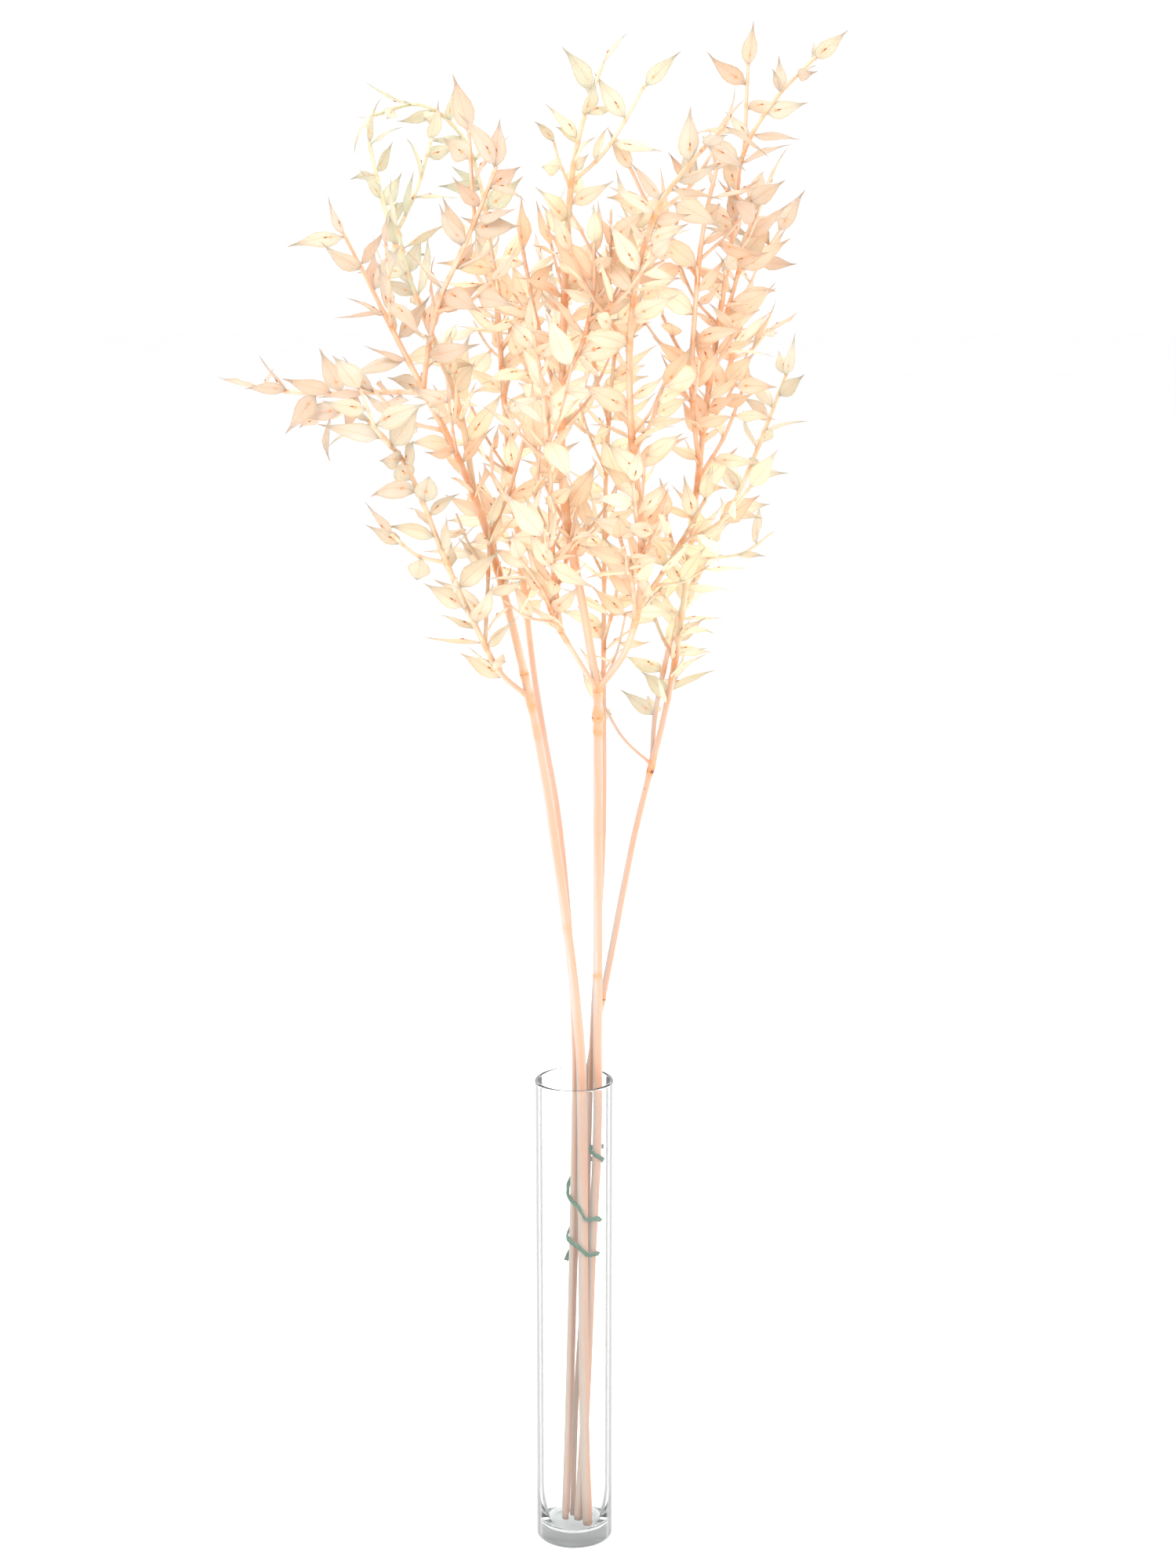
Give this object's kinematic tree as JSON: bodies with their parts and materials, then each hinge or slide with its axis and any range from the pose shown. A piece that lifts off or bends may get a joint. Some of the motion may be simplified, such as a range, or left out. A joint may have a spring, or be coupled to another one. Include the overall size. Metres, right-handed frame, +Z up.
{
  "type": "dried ruscus stems in glass vase",
  "caption": "Bunch of dried, bleached ruscus stems with pointed leaf blades, tied with twine and standing in a slim clear glass cylinder vase.",
  "frame": {"origin": "centre of the vase's flat foot, on the surface it stands on", "axes": "+Z up along the vase, +X to the right and +Y away from the viewer of the picture"},
  "size_m": [0.3015, 0.2583, 0.7693],
  "materials": {
    "clear_glass": "clear, smooth, colourless glass",
    "dried_ruscus": "bleached and dried, peach to cream, matt with a faint sheen",
    "green_twine": "twisted green twine, matt"
  },
  "bodies": {
    "root": {"vase": "clear_glass", "stem_left": "dried_ruscus", "stem_left_rear": "dried_ruscus", "stem_centre": "dried_ruscus", "stem_rear": "dried_ruscus", "stem_right": "dried_ruscus", "twine": "green_twine"}
  },
  "joints": []
}
